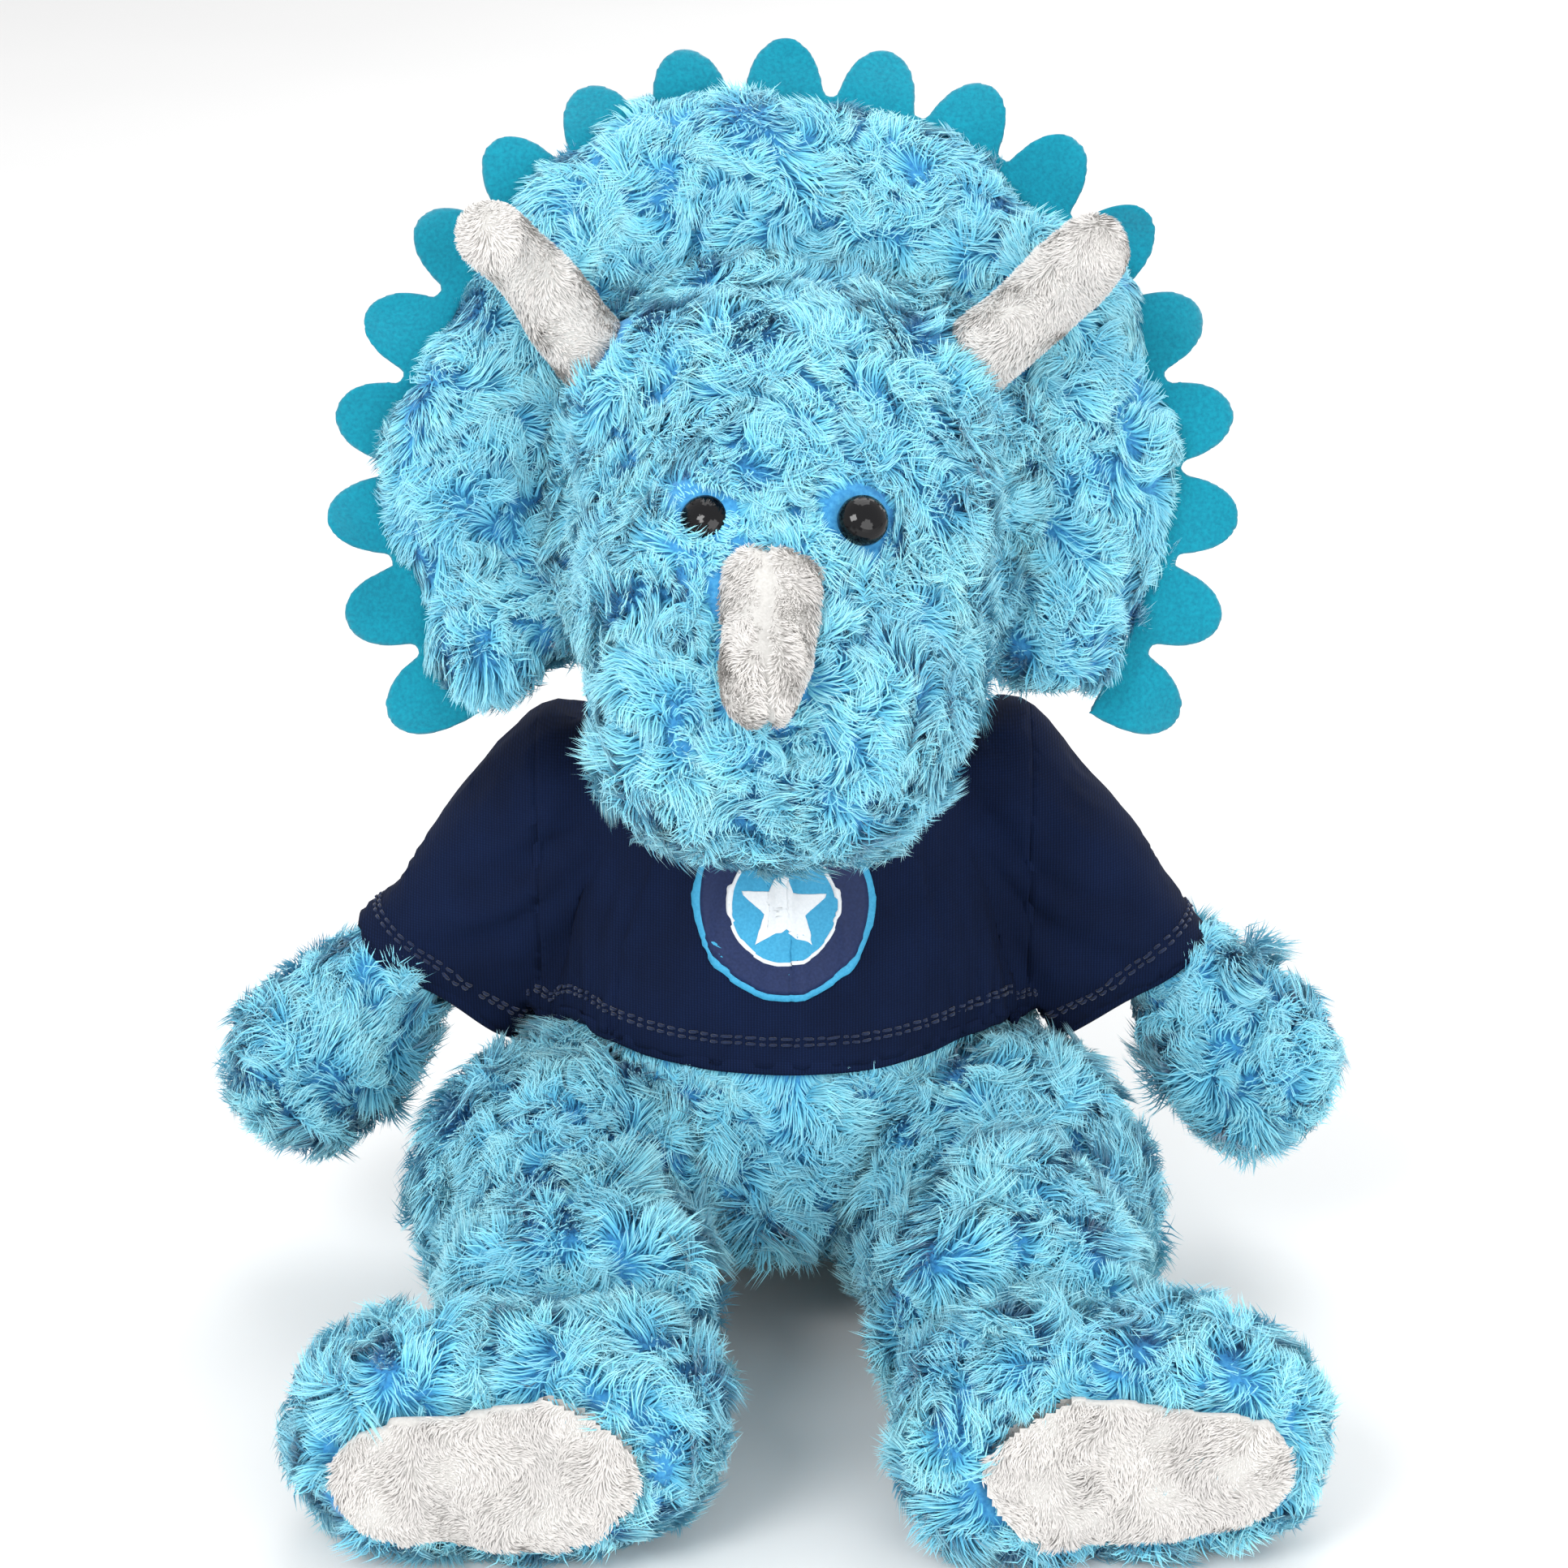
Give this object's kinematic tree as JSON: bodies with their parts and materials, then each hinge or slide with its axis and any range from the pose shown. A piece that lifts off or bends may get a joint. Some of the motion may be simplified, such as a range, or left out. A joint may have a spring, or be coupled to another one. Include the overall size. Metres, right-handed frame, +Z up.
{
  "type": "stuffed dinosaur toy",
  "caption": "Seated long-pile plush horned dinosaur with a scalloped felt frill, padded horns and soles, and a short-sleeved T-shirt.",
  "frame": {"origin": "middle of the flat seat patch, on the surface that the toy sits on", "axes": "+Z up, the toy faces -Y, its own right side is at -X"},
  "size_m": [0.2956, 0.2925, 0.3211],
  "materials": {
    "blue_plush": "long-pile swirled plush",
    "pale_minky": "short-pile minky",
    "navy_jersey": "knitted cotton jersey",
    "teal_felt": "pressed felt",
    "badge_film": "printed transfer film",
    "black_eye": "polished",
    "white_nylon": "moulded",
    "polyester_fill": "loose fibre",
    "pellet_bag_cloth": "woven pouch of pellets"
  },
  "bodies": {
    "torso": {"torso_skin": "blue_plush", "torso_stuffing": "polyester_fill", "seat_pellet_bag": "pellet_bag_cloth", "shirt_front": "navy_jersey", "shirt_back": "navy_jersey", "shirt_collar": "navy_jersey", "shirt_badge": "badge_film"},
    "neck": {"neck_stuffing": "polyester_fill"},
    "head": {"head_skin": "blue_plush", "head_stuffing": "polyester_fill", "frill_front_skin": "blue_plush", "frill_back_skin": "blue_plush", "frill_stuffing": "polyester_fill", "frill_felt_strip": "teal_felt", "left_brow_horn_skin": "pale_minky", "left_brow_horn_stuffing": "polyester_fill", "right_brow_horn_skin": "pale_minky", "right_brow_horn_stuffing": "polyester_fill", "nose_horn_skin": "pale_minky", "nose_horn_stuffing": "polyester_fill", "left_eye": "black_eye", "right_eye": "black_eye", "left_eye_washer": "white_nylon", "right_eye_washer": "white_nylon"},
    "tail": {"tail_skin": "blue_plush", "tail_stuffing": "polyester_fill"},
    "left_arm": {"left_arm_skin": "blue_plush", "left_arm_stuffing": "polyester_fill", "left_sleeve": "navy_jersey"},
    "left_leg": {"left_leg_skin": "blue_plush", "left_leg_stuffing": "polyester_fill"},
    "left_foot": {"left_foot_skin": "blue_plush", "left_foot_stuffing": "polyester_fill", "left_sole_pad": "pale_minky"},
    "right_arm": {"right_arm_skin": "blue_plush", "right_arm_stuffing": "polyester_fill", "right_sleeve": "navy_jersey"},
    "right_leg": {"right_leg_skin": "blue_plush", "right_leg_stuffing": "polyester_fill"},
    "right_foot": {"right_foot_skin": "blue_plush", "right_foot_stuffing": "polyester_fill", "right_sole_pad": "pale_minky"}
  },
  "joints": [
    {"name": "neck_turn", "type": "hinge", "parent": "torso", "child": "neck", "pos_m": [0, 0, 0.166], "axis": [0, 0, 1], "range_deg": [-15, 15], "stiffness_Nm_per_rad": 2},
    {"name": "neck_nod", "type": "hinge", "parent": "neck", "child": "head", "pos_m": [0, 0, 0.166], "axis": [1, 0, 0], "range_deg": [-12, 5], "stiffness_Nm_per_rad": 4},
    {"name": "tail_wag", "type": "hinge", "parent": "torso", "child": "tail", "pos_m": [0, 0.048, 0.027], "axis": [0, 0, 1], "range_deg": [-20, 20], "stiffness_Nm_per_rad": 0.5},
    {"name": "left_arm_swing", "type": "hinge", "parent": "torso", "child": "left_arm", "pos_m": [-0.05872, 0, 0.138], "axis": [-1, 0, 0], "range_deg": [-40, 80], "stiffness_Nm_per_rad": 0.4},
    {"name": "left_leg_lift", "type": "hinge", "parent": "torso", "child": "left_leg", "pos_m": [-0.054, -0.044, 0.0405], "axis": [-1, 0, 0], "range_deg": [-35, 25], "stiffness_Nm_per_rad": 1},
    {"name": "left_foot_roll", "type": "hinge", "parent": "left_leg", "child": "left_foot", "pos_m": [-0.054, -0.044, 0.0405], "axis": [0.0698, -0.9976, 0], "range_deg": [-20, 20], "stiffness_Nm_per_rad": 0.5},
    {"name": "right_arm_swing", "type": "hinge", "parent": "torso", "child": "right_arm", "pos_m": [0.05872, 0, 0.138], "axis": [-1, 0, 0], "range_deg": [-40, 80], "stiffness_Nm_per_rad": 0.4},
    {"name": "right_leg_lift", "type": "hinge", "parent": "torso", "child": "right_leg", "pos_m": [0.054, -0.044, 0.0405], "axis": [-1, 0, 0], "range_deg": [-35, 25], "stiffness_Nm_per_rad": 1},
    {"name": "right_foot_roll", "type": "hinge", "parent": "right_leg", "child": "right_foot", "pos_m": [0.054, -0.044, 0.0405], "axis": [0.0349, -0.9994, 0], "range_deg": [-20, 20], "stiffness_Nm_per_rad": 0.5}
  ]
}
